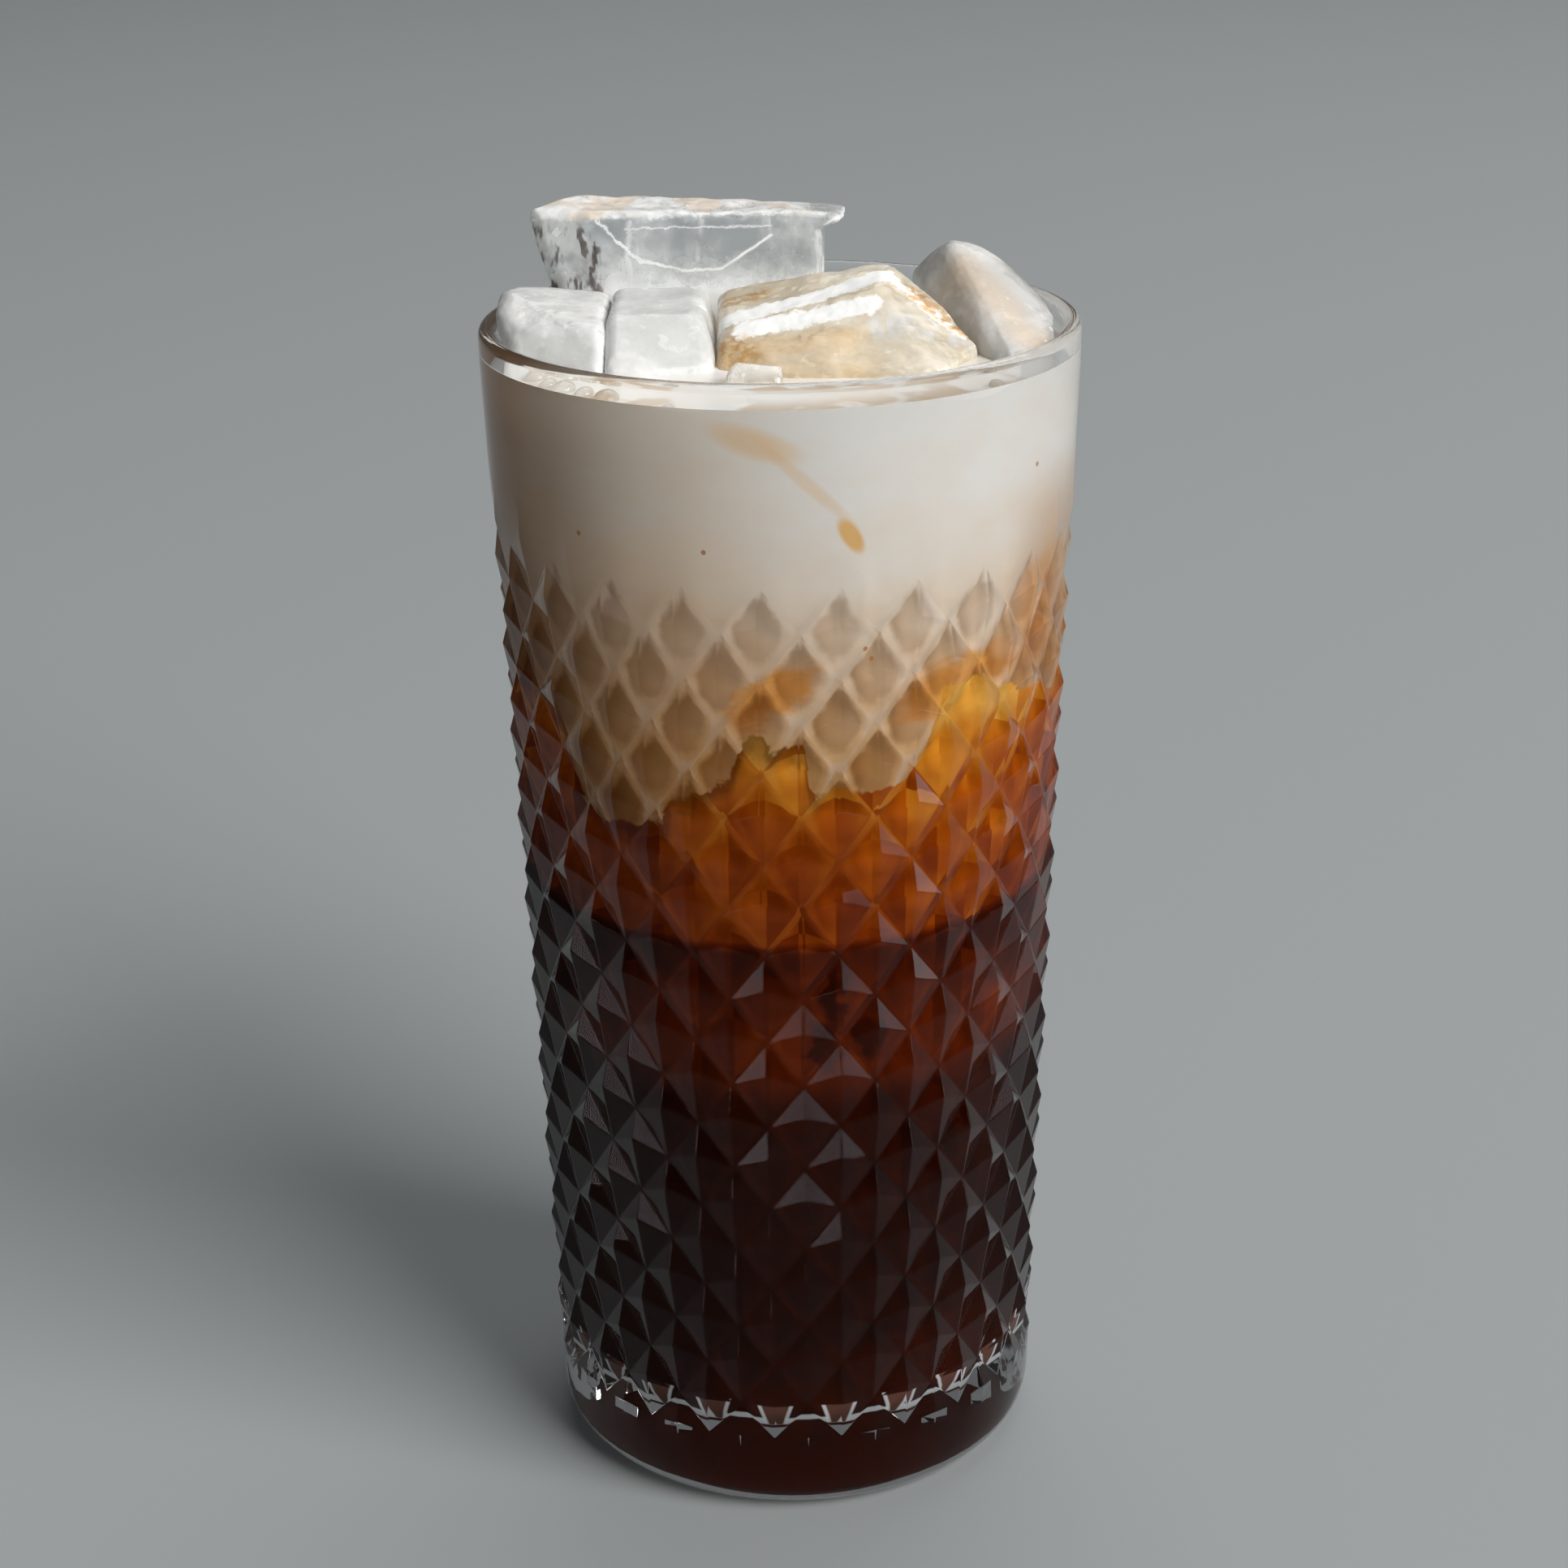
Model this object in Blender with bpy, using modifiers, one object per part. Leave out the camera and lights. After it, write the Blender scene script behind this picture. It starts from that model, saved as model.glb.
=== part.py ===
"""Thai iced tea in a tall tumbler: cut-diamond relief, dark tea, a thick cream layer and clear ice.

Metres, +Z up. The origin is the centre of the base, on the surface that the glass stands on.
Turned shapes share one set of SIDES, so that each wall stays parallel to the next.
"""
import math

import bmesh
import bpy
from mathutils import Matrix, Vector

MM = 0.001

# Glass
RIM_HEIGHT = 150 * MM
RIM_RADIUS = 36.75 * MM
FOOT_RADIUS = 31.9 * MM
HEEL_RADIUS = 5.0 * MM
RIM_WALL = 2.3 * MM
BAND_WALL = 2.6 * MM
CUT_WALL = 3.3 * MM
FLOOR_HEIGHT = 11.0 * MM
FLOOR_FILLET = 5.0 * MM
WALL_HEIGHTS = (40 * MM, 70 * MM, 100 * MM)
GLASS_SHARP_ANGLE = math.radians(12)

# Diamond relief: each cell is a four-sided pyramid whose point sits above the cell's middle
DIAMONDS_ROUND = 23
SIDES = 2 * DIAMONDS_ROUND
STEP_ANGLE = math.tau / SIDES
FRONT_TURN = math.radians(2.6)
TIP_HEIGHT = 125.6 * MM
ROW_PITCH = 5.768 * MM
LAST_ROW = 20
CUT_DEPTH = 1.2 * MM
POINT_LIFT = 1.9 * MM
FADE = 0.5
BAND_START = 129.0 * MM
BASE_BAND_TOP = 9.0 * MM
NOTCH_RAISE = 1.2 * MM

# Drink
GAP = 0.3 * MM
POCKET_GAP = 0.4 * MM
LEVEL = 145.5 * MM
CREAM_EDGE = 109.0 * MM
CREAM_MIDDLE = 104.0 * MM
RING_SHARES = (0.35, 0.65, 0.85)
DRINK_SHARP_ANGLE = math.radians(35)
# Each tongue of cream that hangs into the tea: angle from the front, how far it drops, half width
TONGUES = (
    (-36, 14.0 * MM, 19),
    (13, 9.0 * MM, 14),
    (82, 4.0 * MM, 18),
    (140, 9.0 * MM, 22),
    (-166, 5.0 * MM, 18),
    (-105, 8.0 * MM, 20),
)

# Ice, in millimetres: the corners of each block, from the sunk end up
ICE_BEVEL = 1.0
ICE = {
    "ice_back_slab": (
        (-21, 12.5, 137), (4.5, 13.5, 137), (5, 26, 137), (-17, 25, 137), (-25, 17, 137),
        (-21.8, 12.2, 150.5), (5.4, 15, 150.5), (6, 27, 150.5), (-20, 25.5, 150.5), (-29.2, 16.4, 150.5),
        (-22.8, 13.4, 160.3), (5.4, 15.4, 159.7), (6.2, 24.2, 159.6), (-25.6, 23.2, 161.3),
        (-32.2, 15.3, 160.7),
    ),
    "ice_left_lump": (
        (-29.5, -8, 138), (-21.6, -11, 138), (-20.9, 8.5, 138), (-29.5, 9, 138),
        (-31.8, -7.2, 145.8), (-21.2, -12.4, 145.6), (-20.9, 9.8, 147), (-32.6, 8.8, 148),
        (-34.4, 1, 149.9), (-31.8, -4.6, 149.2), (-21.5, -6.4, 149.6), (-21.2, 9.2, 151.2),
        (-34.3, 5.6, 152.6), (-31, 9, 151.8),
    ),
    "ice_left_cube": (
        (-20, -13, 137), (-9, -12, 137), (-8.6, 9, 137), (-20.2, 9, 137),
        (-20.4, -12.6, 146.4), (-8.1, -9.8, 146.2), (-8.1, 9.8, 147), (-20.4, 9.8, 147),
        (-20.6, -3.4, 150.6), (-9.5, -3, 150.6), (-9.5, 9.4, 151.7), (-20.4, 9.4, 151.6),
    ),
    "ice_middle": (
        (-7, -8.6, 137), (3, -13.6, 137), (17, -13, 137), (21, -5, 137), (18, 4, 137), (12, 10.6, 137),
        (-6.8, 10.6, 137),
        (-7.7, -9, 146), (1.4, -14.8, 145.8), (18.2, -15.4, 145.8), (24.1, -4.2, 146.4), (20.8, 1.4, 150),
        (15, 11.2, 150.6), (-7.7, 11.2, 149.8),
        (-6.8, -3.2, 149.4), (8.8, -4.6, 150), (12.6, 0.4, 152.8), (13.5, 9.4, 154.8), (-7.4, 10.2, 151.3),
    ),
    "ice_right_peak": (
        (18.2, 10.5, 137), (23.8, -3.4, 137), (27.5, -8.4, 137), (30.6, -2.5, 137), (30, 8, 137),
        (25.5, 19, 137), (17, 25, 137),
        (17.6, 11.6, 150.2), (25, -3.6, 146.8), (26.8, -9.2, 146), (33.3, -4.2, 147), (33.9, 3, 149.2),
        (31.6, 11.4, 150.6), (25.6, 20.2, 149.8), (16.9, 22.2, 151.2),
        (20.8, 13.2, 156.2), (24.6, 12, 156), (26.8, 13.6, 155), (22.2, 16.2, 156.2),
    ),
    "ice_chip": (
        (-6.8, -19.4, 142), (-0.2, -19.8, 142), (0.6, -16, 142), (-6.2, -15.4, 142),
        (-6.4, -18.6, 147), (0, -19, 146.6), (0.4, -16.2, 147.8), (-5.4, -15.6, 148.2),
    ),
}
ICE_CHIP_BEVEL = 0.6
ICE_FLAT_ANGLE = math.radians(7)
ICE_SHARP_ANGLE = math.radians(30)

COLOURS = {
    "glass": ((0.86, 0.9, 0.92, 1), 0.03),
    "tea": ((0.23, 0.045, 0.008, 1), 0.15),
    "cream": ((0.86, 0.78, 0.68, 1), 0.35),
    "ice": ((0.9, 0.94, 0.96, 1), 0.08),
}


def clear_scene():
    for item in list(bpy.data.objects):
        bpy.data.objects.remove(item, do_unlink=True)


def new_collection(name):
    group = bpy.data.collections.new(name)
    bpy.context.scene.collection.children.link(group)
    return group


def new_material(name):
    colour, roughness = COLOURS[name]
    material = bpy.data.materials.new(name)
    material.use_nodes = True
    shader = material.node_tree.nodes["Principled BSDF"]
    shader.inputs["Base Color"].default_value = colour
    shader.inputs["Roughness"].default_value = roughness
    shader.inputs["Metallic"].default_value = 0.0
    if name in ("glass", "ice"):
        shader.inputs["Transmission Weight"].default_value = 1.0
    material.diffuse_color = colour
    return material


def place(name, mesh, material, group):
    thing = bpy.data.objects.new(name, mesh)
    mesh.materials.clear()
    mesh.materials.append(material)
    group.objects.link(thing)
    return thing


def envelope(height):
    """Outer radius of the glass: a straight taper from rim to foot."""
    return FOOT_RADIUS + (RIM_RADIUS - FOOT_RADIUS) * height / RIM_HEIGHT


def inner_radius(height):
    """Inner radius of the smooth wall, thickest where the outside is cut."""
    if height >= BAND_START:
        share = (height - BAND_START) / (RIM_HEIGHT - BAND_START)
        return envelope(height) - BAND_WALL + (BAND_WALL - RIM_WALL) * share
    share = min(1.0, (BAND_START - height) / (BAND_START - TIP_HEIGHT + ROW_PITCH))
    return envelope(height) - BAND_WALL - (CUT_WALL - BAND_WALL) * share


def arc(centre, radius, start, end, count):
    """Points of an arc in the profile plane, angles in degrees from +X."""
    points = []
    for index in range(count + 1):
        angle = math.radians(start + (end - start) * index / count)
        points.append((centre[0] + radius * math.cos(angle), centre[1] + radius * math.sin(angle)))
    return points


def row_height(row):
    return TIP_HEIGHT - row * ROW_PITCH


def turned_mesh(name, profile):
    """Turn a profile of (radius, height) points round Z, with a column of points at the front turn."""
    mesh = bpy.data.meshes.new(name)
    mesh.from_pydata([(r, 0, z) for r, z in profile], [(i, i + 1) for i in range(len(profile) - 1)], [])
    rough = bpy.data.objects.new(name + "_profile", mesh)
    bpy.context.scene.collection.objects.link(rough)
    screw = rough.modifiers.new("turn", "SCREW")
    screw.axis = "Z"
    screw.angle = math.tau
    screw.steps = screw.render_steps = SIDES
    screw.use_merge_vertices = True
    screw.merge_threshold = 0.00001
    evaluated = rough.evaluated_get(bpy.context.evaluated_depsgraph_get())
    turned = bpy.data.meshes.new_from_object(evaluated)
    bpy.data.objects.remove(rough)
    turned.transform(Matrix.Rotation(FRONT_TURN - math.pi / 2, 4, "Z"))
    turned.name = name
    return turned


def column_of(point):
    return round((math.atan2(point.x, -point.y) - FRONT_TURN) / STEP_ANGLE)


def cut_diamonds(shape):
    """Press the lattice corners in, lift the pyramid points, and fold each face from corner to corner."""
    corners = set()
    in_relief = set()
    for vertex in shape.verts:
        radius = vertex.co.xy.length
        row = (TIP_HEIGHT - vertex.co.z) / ROW_PITCH
        whole = round(row)
        if abs(row - whole) > 0.001 or not 0 <= whole <= LAST_ROW:
            continue
        if abs(radius - envelope(vertex.co.z)) > 0.0001:
            continue
        in_relief.add(vertex)
        if (column_of(vertex.co) + whole) % 2 == 0:
            vertex.co.z += POINT_LIFT
            target = envelope(vertex.co.z)
        else:
            corners.add(vertex)
            at_edge = whole in (0, LAST_ROW)
            if whole == LAST_ROW:
                vertex.co.z += NOTCH_RAISE
            target = envelope(vertex.co.z) - CUT_DEPTH * (FADE if at_edge else 1.0)
        vertex.co.xy *= target / radius
    for face in list(shape.faces):
        ends = [vertex for vertex in face.verts if vertex in corners]
        if len(face.verts) == 4 and len(ends) == 2 and all(vertex in in_relief for vertex in face.verts):
            bmesh.utils.face_split(face, ends[0], ends[1])


def make_glass(group, material):
    fillet_centre = (inner_radius(FLOOR_HEIGHT + FLOOR_FILLET) - FLOOR_FILLET, FLOOR_HEIGHT + FLOOR_FILLET)
    inside = [(0, FLOOR_HEIGHT), (fillet_centre[0] * 0.5, FLOOR_HEIGHT)]
    inside += arc(fillet_centre, FLOOR_FILLET, -90, 0, 4)
    for height in WALL_HEIGHTS + (TIP_HEIGHT - ROW_PITCH, BAND_START):
        inside.append((inner_radius(height), height))
    rim_middle = RIM_RADIUS - RIM_WALL / 2
    rim = arc((rim_middle, RIM_HEIGHT - RIM_WALL / 2), RIM_WALL / 2, 180, 0, 6)
    outside = [(envelope(BAND_START), BAND_START)]
    outside += [(envelope(row_height(row)), row_height(row)) for row in range(LAST_ROW + 1)]
    outside.append((envelope(BASE_BAND_TOP), BASE_BAND_TOP))
    heel_centre = (envelope(HEEL_RADIUS) - HEEL_RADIUS, HEEL_RADIUS)
    heel = arc(heel_centre, HEEL_RADIUS, 0, -90, 5)
    mesh = turned_mesh("glass", inside + rim + outside + heel + [(0, 0)])
    shape = bmesh.new()
    shape.from_mesh(mesh)
    cut_diamonds(shape)
    shape.to_mesh(mesh)
    shape.free()
    mesh.shade_smooth()
    mesh.set_sharp_from_angle(angle=GLASS_SHARP_ANGLE)
    return place("glass", mesh, material, group)


def cream_edge(angle):
    """Height at the wall of the boundary between cream and tea, at an angle from the front."""
    height = CREAM_EDGE
    for centre, drop, half_width in TONGUES:
        turn = (math.degrees(angle) - centre + 180) % 360 - 180
        height -= drop * math.exp(-((turn / half_width) ** 2))
    return height


def boundary(point):
    """Height of the boundary anywhere inside: it settles to one level towards the axis."""
    radius = point.xy.length
    share = min(1.0, radius / inner_radius(CREAM_EDGE)) ** 2
    return CREAM_MIDDLE + (cream_edge(math.atan2(point.x, -point.y)) - CREAM_MIDDLE) * share


def shape_boundary(mesh, flat_height, offset):
    """Wave the flat end of a turned solid, and split its faces alike on both sides of the boundary."""
    shape = bmesh.new()
    shape.from_mesh(mesh)
    waved = {vertex for vertex in shape.verts if abs(vertex.co.z - flat_height) < 0.00001}
    edge = max(vertex.co.xy.length for vertex in waved)
    for vertex in waved:
        on_wall = vertex.co.xy.length > edge - 0.0001
        vertex.co.z = boundary(vertex.co) + offset
        if on_wall:
            vertex.co.xy *= (inner_radius(vertex.co.z) - GAP) / vertex.co.xy.length
    for face in list(shape.faces):
        if len(face.verts) == 4 and all(vertex in waved for vertex in face.verts):
            by_radius = sorted(face.verts, key=lambda vertex: vertex.co.xy.length)
            columns = {vertex: column_of(vertex.co) % SIDES for vertex in face.verts}
            first = next(c for c in columns.values() if (c + 1) % SIDES in columns.values())
            inner_start = next(vertex for vertex in by_radius[:2] if columns[vertex] == first)
            outer_end = next(vertex for vertex in by_radius[2:] if columns[vertex] != first)
            bmesh.utils.face_split(face, inner_start, outer_end)
    shape.to_mesh(mesh)
    shape.free()


def drink_rings(height):
    """Radii of the rings on the waved end, from the axis to the wall."""
    wall = inner_radius(CREAM_MIDDLE) - GAP
    return [(0, height)] + [(wall * share, height) for share in RING_SHARES] + [(wall, height)]


def make_tea(group, material):
    floor = FLOOR_HEIGHT + GAP
    fillet = FLOOR_FILLET - GAP
    centre = (inner_radius(FLOOR_HEIGHT + FLOOR_FILLET) - FLOOR_FILLET, FLOOR_HEIGHT + FLOOR_FILLET)
    wall = [(inner_radius(height) - GAP, height) for height in reversed(WALL_HEIGHTS[:-1])]
    profile = drink_rings(CREAM_MIDDLE) + wall + arc(centre, fillet, 0, -90, 4)
    profile += [(centre[0] * 0.5, floor), (0, floor)]
    mesh = turned_mesh("tea", profile)
    shape_boundary(mesh, CREAM_MIDDLE, -GAP / 2)
    mesh.shade_smooth()
    mesh.set_sharp_from_angle(angle=DRINK_SHARP_ANGLE)
    return place("tea", mesh, material, group)


def make_cream(group, material):
    top = inner_radius(LEVEL) - GAP
    heights = (BAND_START, TIP_HEIGHT - ROW_PITCH)
    wall = [(inner_radius(height) - GAP, height) for height in heights]
    profile = [(0, LEVEL), (top, LEVEL)] + wall + list(reversed(drink_rings(CREAM_MIDDLE)))
    mesh = turned_mesh("cream", profile)
    shape_boundary(mesh, CREAM_MIDDLE, GAP / 2)
    mesh.shade_smooth()
    mesh.set_sharp_from_angle(angle=DRINK_SHARP_ANGLE)
    return place("cream", mesh, material, group)


def hull_of(points):
    """A closed convex shape round points."""
    shape = bmesh.new()
    for point in points:
        shape.verts.new(point)
    hull = bmesh.ops.convex_hull(shape, input=shape.verts[:])
    inside = {item for item in hull["geom_interior"] if isinstance(item, bmesh.types.BMVert)}
    bmesh.ops.delete(shape, geom=list(inside), context="VERTS")
    return shape


def block_mesh(name, corners, bevel):
    """A broken block of ice: the hull of its corners, with flats joined and edges worn."""
    shape = hull_of([Vector(corner) * MM for corner in corners])
    bmesh.ops.dissolve_limit(shape, angle_limit=ICE_FLAT_ANGLE, verts=shape.verts[:], edges=shape.edges[:])
    bmesh.ops.bevel(shape, geom=shape.edges[:], offset=bevel * MM, segments=2, profile=0.5, affect="EDGES",
                    clamp_overlap=True)
    bmesh.ops.triangulate(shape, faces=shape.faces[:])
    bmesh.ops.recalc_face_normals(shape, faces=shape.faces[:])
    mesh = bpy.data.meshes.new(name)
    shape.to_mesh(mesh)
    shape.free()
    mesh.shade_smooth()
    mesh.set_sharp_from_angle(angle=ICE_SHARP_ANGLE)
    return mesh


def pocket_mesh(mesh):
    """The room that a block takes in the cream: the hull of its points, each moved out by the gap."""
    shape = hull_of([vertex.co + vertex.normal * POCKET_GAP for vertex in mesh.vertices])
    pocket = bpy.data.meshes.new(mesh.name + "_pocket")
    shape.to_mesh(pocket)
    shape.free()
    return pocket


def make_ice(group, cutters, cream, material):
    for name, corners in ICE.items():
        bevel = ICE_CHIP_BEVEL if name == "ice_chip" else ICE_BEVEL
        block = place(name, block_mesh(name, corners, bevel), material, group)
        pocket = bpy.data.objects.new(name + "_pocket", pocket_mesh(block.data))
        cutters.objects.link(pocket)
        pocket.hide_render = True
        pocket.display_type = "WIRE"
        cut = cream.modifiers.new(name + "_cut", "BOOLEAN")
        cut.operation = "DIFFERENCE"
        cut.object = pocket


def main():
    clear_scene()
    group = new_collection("thai_iced_tea")
    cutters = new_collection("pockets")
    materials = {name: new_material(name) for name in COLOURS}
    make_glass(group, materials["glass"])
    make_tea(group, materials["tea"])
    cream = make_cream(group, materials["cream"])
    make_ice(group, cutters, cream, materials["ice"])


main()
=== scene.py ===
"""Looks of a thai iced tea: a cut-diamond tumbler, dark tea, cream and broken ice.

Metres, +Z up. The glass's axis is Z, and the side towards the camera is -Y. Angles round the glass are
counted from that side, positive to the right.
"""
import math
from types import SimpleNamespace

import bmesh
import bpy
from mathutils import Matrix, Vector


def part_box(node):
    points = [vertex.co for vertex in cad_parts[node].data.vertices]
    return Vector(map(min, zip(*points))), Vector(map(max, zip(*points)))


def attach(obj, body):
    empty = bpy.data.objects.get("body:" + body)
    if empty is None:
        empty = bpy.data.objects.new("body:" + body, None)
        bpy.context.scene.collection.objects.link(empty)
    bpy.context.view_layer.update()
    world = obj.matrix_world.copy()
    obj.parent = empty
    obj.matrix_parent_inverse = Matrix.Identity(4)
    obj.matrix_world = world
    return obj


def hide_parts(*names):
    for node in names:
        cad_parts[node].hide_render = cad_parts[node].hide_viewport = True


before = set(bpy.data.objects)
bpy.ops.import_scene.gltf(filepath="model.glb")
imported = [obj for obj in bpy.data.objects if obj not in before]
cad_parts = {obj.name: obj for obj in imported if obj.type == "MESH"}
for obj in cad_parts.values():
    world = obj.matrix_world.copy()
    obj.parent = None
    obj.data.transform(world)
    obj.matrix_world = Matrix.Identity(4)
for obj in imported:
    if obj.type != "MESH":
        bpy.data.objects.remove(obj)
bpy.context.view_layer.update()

MM = 0.001

# Camera: place in metres, turn in degrees, the picture's width and its focal length and shift in pixels
CAMERA_PLACE = (0, -0.35575, 0.225135)
CAMERA_PITCH = 90 - 20.918
CAMERA_ROLL = -0.897
PICTURE_WIDTH = 1932
FOCAL_PIXELS = 3648.9
SHIFT_PIXELS = -3.65
SENSOR_WIDTH = 36

# Studio: each light's angle to the right of the camera, elevation, distance, size, watts and colour
BIG_LIGHTS = {
    "key": (50, 33, 3.6, (2.4, 2.4), 192, (1, 0.985, 0.965)),
    "overhead": (165, 58, 3.2, (2.4, 2.4), 34, (1, 1, 1)),
}
# Two long low boxes for the cut facets to mirror
GLINT_BOXES = {
    "left_glints": (-36, -4.2, 0.55, (0.48, 0.085), 0.5, (1, 0.96, 0.98)),
    "right_glints": (74, -4.2, 0.55, (0.5, 0.085), 0.36, (1, 0.96, 0.98)),
}
LIGHT_TARGET = (0, 0, 0.09)
FLOOR_SIZE = 12
FLOOR_COLOUR = (0.31, 0.33, 0.335, 1)
STUDIO_COLOUR = (0.66, 0.68, 0.7, 1)
STUDIO_STRENGTH = 0.16

# Glass: the sizes that the frame's glass has
RIM_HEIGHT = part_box("glass")[1].z
RIM_RADIUS = 36.75 * MM
FOOT_RADIUS = 31.9 * MM
HEEL_RADIUS = 5.0 * MM
RIM_WALL = 2.3 * MM
BAND_WALL = 2.6 * MM
CUT_WALL = 3.3 * MM
FLOOR_HEIGHT = 11.0 * MM
FLOOR_FILLET = 5.0 * MM
# Two sides for each of the 23 diamonds of a row
SIDES = 46
STEP_ANGLE = math.tau / SIDES
FRONT_TURN = math.radians(2.6)
TIP_HEIGHT = 125.6 * MM
ROW_PITCH = 5.768 * MM
LAST_ROW = 20
CUT_DEPTH = 1.2 * MM
POINT_LIFT = 1.9 * MM
EDGE_SHARE = 0.5
NOTCH_RAISE = 1.2 * MM
BAND_START = 129.0 * MM
BAND_MIDDLE = 140.0 * MM
BASE_BAND_TOP = 9.0 * MM
STANDING_WIDTH = 1.2 * MM
HOLLOW_EDGE = 2.6 * MM
UNDER_HOLLOW = 0.7 * MM
CORE_RADIUS = 4.0 * MM
FLAT_SHARE = 0.6
INSIDE_STEPS = (40 * MM, 70 * MM, 100 * MM)
OUTSIDE_FROM_INSIDE = 1.5 * MM
EDGE_WEAR = 0.16 * MM
WEAR_ANGLE = 9
GLASS_COLOUR = (0.985, 0.995, 0.995, 1)
GLASS_MIRROR_TINT = (0.2, 0.19, 0.2, 1)

# Drink
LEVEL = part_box("cream")[1].z
INTO_WALL = 0.12 * MM
MENISCUS = 1.3 * MM
MENISCUS_WIDTH = 1.6 * MM
MENISCUS_STEPS = 5
MENISCUS_CURVE = 2.5
RING_SHARES = (0.35, 0.65, 0.85)
TEA_STEPS = (85 * MM, 70 * MM, 55 * MM)
CREAM_EDGE = 109.0 * MM
CREAM_MIDDLE = 104.0 * MM
CREASE_ANGLE = 35
# Each tongue of cream that hangs into the tea: angle from the front, how far it drops, half width
TONGUES = (
    (-36, 14.0 * MM, 19),
    (13, 9.0 * MM, 14),
    (82, 4.0 * MM, 18),
    (140, 9.0 * MM, 22),
    (-166, 5.0 * MM, 18),
    (-105, 8.0 * MM, 20),
)
# The fine outline of the cream's lower edge on the wall: angle from the front, height in millimetres
EDGE_OUTLINE = (
    (-180, 104), (-166, 103.5), (-140, 108), (-122, 104), (-105, 101), (-88, 105), (-72, 108.5),
    (-58, 108), (-51, 98.7), (-42, 94.4), (-35.5, 94.8), (-29, 95.1), (-24, 98.2), (-19, 99.6),
    (-11, 103.6), (-5.4, 107.8), (-3.7, 106.3), (3.2, 106.2), (4.6, 100.1), (10.9, 99.8), (19.7, 100.4),
    (25.7, 101.6), (29.2, 104.3), (32.7, 109), (36.4, 111.5), (47.6, 109.8), (64, 107.9), (82, 105),
    (110, 108.5), (125, 103), (140, 100), (158, 104.5), (180, 104),
)
OUTLINE_LOW = 85
OUTLINE_SPAN = 35
# How deep in colour the tea is at a height in millimetres: 0 is pale amber, 1 is nearly black
TEA_DEPTH = (
    (0, 0.9), (18, 0.93), (30, 1.0), (48, 0.98), (57.5, 0.94), (60.5, 0.82), (66, 0.73), (73, 0.77),
    (79.5, 0.81), (80.7, 0.56), (88, 0.52), (98, 0.4), (105, 0.25), (112, 0.1), (150, 0.1),
)
TEA_COLOURS = (
    (0.0, (0.77, 0.43, 0.075)), (0.2, (0.62, 0.22, 0.014)), (0.4, (0.37, 0.075, 0.002)),
    (0.55, (0.2, 0.028, 0.0008)), (0.7, (0.095, 0.0105, 0.0005)), (0.85, (0.036, 0.0038, 0.0003)),
    (1.0, (0.013, 0.0015, 0.0003)),
)
# Sideways change of the tea's depth, as painted light and shade: paler from the front to the right, where
# light comes through the tea, and darker at the left: angle from the front, added depth
TEA_SIDE_SHADING = (
    (-180, -0.04), (-120, 0.06), (-62, 0.13), (-30, 0.01), (-8, -0.05), (10, -0.05), (24, -0.05),
    (45, -0.07), (66, 0.0), (120, 0.06), (180, -0.04),
)
# Painted shadow under the cream's edge, mostly on the left
TEA_SHADOW_UNDER_CREAM = (0.07, 0.010, 0.001, 1)
TEA_FOOT = (0.09, 0.012, 0.003, 1)
# How much tea is in the cream at a height in millimetres: 0 is white, 1 is brown
CREAM_STAIN = (
    (0, 1.0), (92, 1.0), (100, 0.82), (108, 0.56), (115, 0.4), (121, 0.26), (127, 0.14), (134, 0.05),
    (141, 0.02), (150, 0.0),
)
CREAM_COLOURS = (
    (0.0, (0.83, 0.815, 0.785)), (0.2, (0.81, 0.71, 0.6)), (0.45, (0.74, 0.53, 0.34)),
    (0.7, (0.62, 0.37, 0.16)), (1.0, (0.36, 0.17, 0.05)),
)
# Sides of the cream, each from none to full to none again: four angles from the front. The left and far
# left sides are painted shade, darker and browner where the key light does not reach; the warm and right
# sides are only tinted warmer and browner
WARM_SIDE = (10, -24, -130, -175)
LEFT_SIDE = (-24, -66, -95, -140)
FAR_LEFT_SIDE = (-54, -76, -84, -118)
RIGHT_SIDE = (44, 68, 105, 150)
WARM_TINT = (0.98, 0.89, 0.79, 1)
LEFT_PAINTED_SHADE = (0.6, 0.52, 0.44, 1)
FAR_LEFT_PAINTED_SHADE = (0.74, 0.6, 0.45, 1)
RIGHT_TINT = (0.72, 0.55, 0.4, 1)
# Painted gleam between the relief's fields, and painted shade in the fields
GLEAM_PAINTED_HIGHLIGHT = (0.84, 0.78, 0.7, 1)
FIELD_PAINTED_SHADE = (0.5, 0.39, 0.28, 1)
SPECK_COLOUR = (0.45, 0.17, 0.03, 1)
CREAM_TOP_COLOURS = ((0.35, (0.87, 0.86, 0.84)), (0.62, (0.84, 0.80, 0.74)), (0.75, (0.78, 0.68, 0.55)))
CREAM_TOP_TAN = (0.6, 0.45, 0.3, 1)
# Amber tea that shows in the cream, and at the far left a painted orange reflection: angle and height, half
# sizes, slant, softness, weight
TEA_AND_REFLECTION_PATCHES = (
    ((-3, 112.5 * MM), (8, 3.6 * MM), 0.5, 0.6, 0.9),
    ((40, 111.0 * MM), (14, 4 * MM), 0.3, 0.6, 0.95),
    ((64, 118.0 * MM), (10, 6 * MM), 0.3, 0.9, 0.6),
    # A painted orange reflection at the cream's far left edge, not tea
    ((-92, 131 * MM), (10, 9 * MM), 0.0, 0.9, 0.7),
    ((128, 110 * MM), (13, 4 * MM), 0.4, 0.7, 0.8),
    ((-140, 114 * MM), (12, 4 * MM), -0.4, 0.7, 0.8),
)
TEA_AND_REFLECTION_TINT = (1.0, 0.62, 0.2, 1)
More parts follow.
